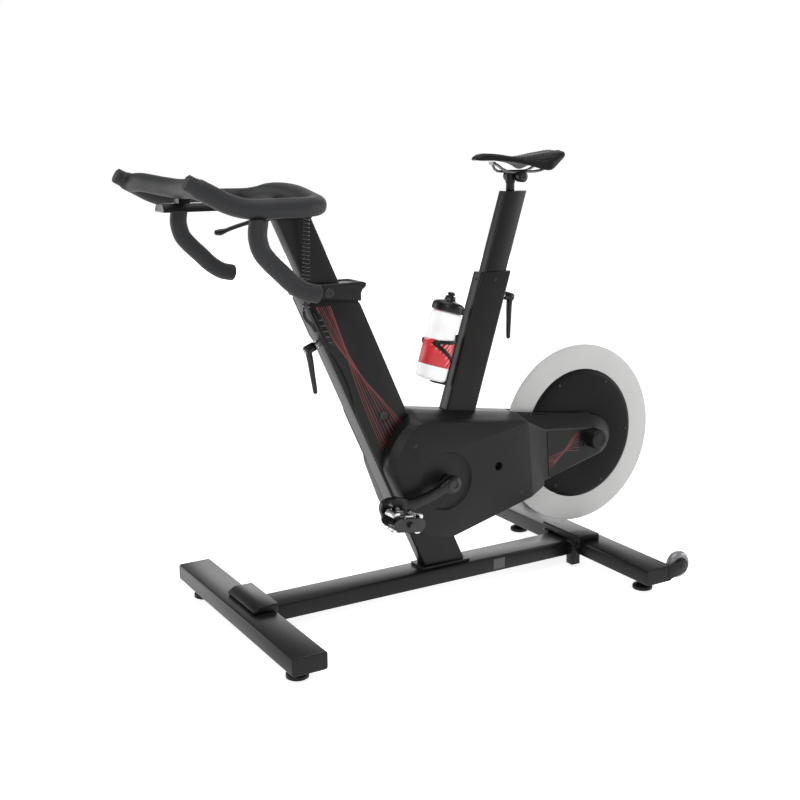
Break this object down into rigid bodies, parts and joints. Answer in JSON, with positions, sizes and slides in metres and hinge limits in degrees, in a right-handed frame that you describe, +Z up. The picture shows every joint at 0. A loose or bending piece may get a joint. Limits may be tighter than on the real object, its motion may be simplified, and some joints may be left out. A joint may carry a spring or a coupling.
{
  "type": "exercise bike",
  "caption": "Indoor training bike with a drop handlebar on a sliding post, a racing saddle, a flywheel behind enclosed drive covers, clip pedals and a bottle.",
  "frame": {"origin": "on the floor, under the middle of the bounding box", "axes": "+X towards the handlebar, +Y to the rider's left, +Z up"},
  "size_m": [1.3584, 0.6392, 1.062],
  "materials": {
    "frame_black": "satin black powder coat",
    "cover_black": "finely textured charcoal",
    "cap_black": "matte black",
    "panel_black": null,
    "foam_black": "matte black moulded foam",
    "lever_black": "satin black",
    "lid_black": "satin black",
    "cage_black": "satin black",
    "rubber_black": "matte black rubber",
    "wheel_clear": "smoky grey, glossy",
    "bright_steel": "bright",
    "flywheel_grey": "light satin grey",
    "disc_black": "matte black",
    "drive_grey": "machined",
    "pedal_metal": "bright clip over a black body",
    "motor_white": "off-white",
    "bottle_white": null,
    "saddle_black": "black, stitched"
  },
  "bodies": {
    "frame": {"front_bar": "frame_black", "rear_bar": "frame_black", "main_beam": "frame_black", "front_joint_cap": "cap_black", "rear_joint_cover": "cap_black", "front_bar_plug_left": "cap_black", "front_bar_plug_right": "cap_black", "rear_bar_plug_left": "cap_black", "rear_bar_plug_right": "cap_black", "mast_tube": "frame_black", "mast_head": "cover_black", "mast_panel_left": "panel_black", "mast_panel_right": "panel_black", "seat_tube": "frame_black", "seat_collar": "cap_black", "bottle_cage": "cage_black", "left_cover": "cover_black", "right_cover": "cover_black", "left_hub_cap": "cap_black", "right_hub_cap": "cap_black", "left_frame_arm": "frame_black", "right_frame_arm": "frame_black", "bottom_bracket_shell": "frame_black", "flywheel_axle": "bright_steel", "brake_motor": "motor_white", "drive_belt": "rubber_black"},
    "handlebar_stem": {"handlebar_post": "frame_black", "slider_block": "cap_black", "handlebar_cable": "rubber_black"},
    "handlebar": {"slide_rail": "frame_black", "handlebar_ring": "foam_black", "handlebar_drop_left": "foam_black", "handlebar_drop_right": "foam_black"},
    "mast_lever": {"mast_clamp_lever": "lever_black"},
    "seat_lever": {"seat_clamp_lever": "lever_black"},
    "slider_lever": {"reach_lever": "lever_black"},
    "seat_stem": {"seat_post": "frame_black", "saddle_stem": "cap_black"},
    "tilt_clamp": {"saddle_clamp": "cap_black"},
    "saddle_carriage": {"saddle_rails": "drive_grey", "saddle": "saddle_black"},
    "flywheel": {"flywheel_ring": "flywheel_grey", "flywheel_disc": "disc_black", "flywheel_pulley": "drive_grey"},
    "crankset": {"crank_spindle": "bright_steel", "left_crank": "lever_black", "right_crank": "lever_black", "drive_pulley": "drive_grey"},
    "pedal_left": {"left_pedal": "pedal_metal"},
    "pedal_right": {"right_pedal": "pedal_metal"},
    "wheel_left": {"transport_wheel_left": "wheel_clear"},
    "wheel_right": {"transport_wheel_right": "wheel_clear"},
    "foot_a": {"foot_front_left": "rubber_black"},
    "foot_b": {"foot_front_right": "rubber_black"},
    "foot_c": {"foot_rear_left": "rubber_black"},
    "foot_d": {"foot_rear_right": "rubber_black"},
    "brake_carriage": {"brake_magnets": "drive_grey"},
    "bottle": {"bottle_body": "bottle_white"},
    "lid": {"bottle_lid": "lid_black"},
    "spout": {"bottle_spout": "lid_black"}
  },
  "joints": [
    {"name": "handlebar_height", "type": "slide", "parent": "frame", "child": "handlebar_stem", "axis": [0.4157, 0, 0.9095], "range_m": [-0.12, 0.06], "deforming": ["handlebar_cable"]},
    {"name": "handlebar_reach", "type": "slide", "parent": "handlebar_stem", "child": "handlebar", "axis": [1, 0, 0], "range_m": [-0.04, 0.04]},
    {"name": "reach_lever_turn", "type": "hinge", "parent": "handlebar_stem", "child": "slider_lever", "pos_m": [0.43276, 0, 0.932], "axis": [0, 1, 0], "range_deg": [-50, 70]},
    {"name": "mast_lever_turn", "type": "hinge", "parent": "frame", "child": "mast_lever", "pos_m": [0.29325, 0, 0.64], "axis": [0.9095, 0, -0.4157], "range_deg": [-90, 90]},
    {"name": "seat_lever_turn", "type": "hinge", "parent": "frame", "child": "seat_lever", "pos_m": [-0.2035, 0, 0.716], "axis": [-0.9567, 0, -0.2911], "range_deg": [-90, 90]},
    {"name": "seat_height", "type": "slide", "parent": "frame", "child": "seat_stem", "axis": [-0.2911, 0, 0.9567], "range_m": [-0.17, 0.06]},
    {"name": "saddle_tilt", "type": "hinge", "parent": "seat_stem", "child": "tilt_clamp", "pos_m": [-0.24324, 0, 1.001], "axis": [0, 1, 0], "range_deg": [-12, 12]},
    {"name": "saddle_reach", "type": "slide", "parent": "tilt_clamp", "child": "saddle_carriage", "axis": [1, 0, 0], "range_m": [-0.015, 0.015]},
    {"name": "flywheel_spin", "type": "hinge", "parent": "frame", "child": "flywheel", "pos_m": [-0.44924, 0, 0.338], "axis": [0, 1, 0], "continuous": true},
    {"name": "crank_spin", "type": "hinge", "parent": "frame", "child": "crankset", "pos_m": [0.00076, 0, 0.296], "axis": [0, 1, 0], "continuous": true},
    {"name": "left_pedal_spin", "type": "hinge", "parent": "crankset", "child": "pedal_left", "pos_m": [0.16384, 0, 0.248], "axis": [0, 1, 0], "continuous": true},
    {"name": "right_pedal_spin", "type": "hinge", "parent": "crankset", "child": "pedal_right", "pos_m": [-0.16232, 0, 0.344], "axis": [0, 1, 0], "continuous": true},
    {"name": "left_wheel_spin", "type": "hinge", "parent": "frame", "child": "wheel_left", "pos_m": [-0.52924, 0.299, 0.06], "axis": [0, 1, 0], "continuous": true},
    {"name": "right_wheel_spin", "type": "hinge", "parent": "frame", "child": "wheel_right", "pos_m": [-0.52924, -0.299, 0.06], "axis": [0, 1, 0], "continuous": true},
    {"name": "foot_a_turn", "type": "hinge", "parent": "frame", "child": "foot_a", "pos_m": [0.47956, 0.2576, 0.02], "axis": [0, 0, 1], "continuous": true},
    {"name": "foot_b_turn", "type": "hinge", "parent": "frame", "child": "foot_b", "pos_m": [0.47956, -0.2576, 0.02], "axis": [0, 0, 1], "continuous": true},
    {"name": "foot_c_turn", "type": "hinge", "parent": "frame", "child": "foot_c", "pos_m": [-0.45454, 0.2576, 0.02], "axis": [0, 0, 1], "continuous": true},
    {"name": "foot_d_turn", "type": "hinge", "parent": "frame", "child": "foot_d", "pos_m": [-0.45454, -0.2576, 0.02], "axis": [0, 0, 1], "continuous": true},
    {"name": "brake_slide", "type": "slide", "parent": "frame", "child": "brake_carriage", "axis": [0.9848, 0, -0.1736], "range_m": [0, 0.015]},
    {"name": "bottle_lift", "type": "slide", "parent": "frame", "child": "bottle", "axis": [-0.2924, 0, 0.9563], "range_m": [0, 0.2]},
    {"name": "lid_turn", "type": "hinge", "parent": "bottle", "child": "lid", "pos_m": [0.00026, 0, 0.527], "axis": [-0.2924, 0, 0.9563], "continuous": true},
    {"name": "spout_pull", "type": "slide", "parent": "lid", "child": "spout", "axis": [-0.2924, 0, 0.9563], "range_m": [0, 0.008]}
  ],
  "couplings": [
    {"joint": "crank_spin", "follows": "flywheel_spin", "ratio": 0.29825}
  ]
}
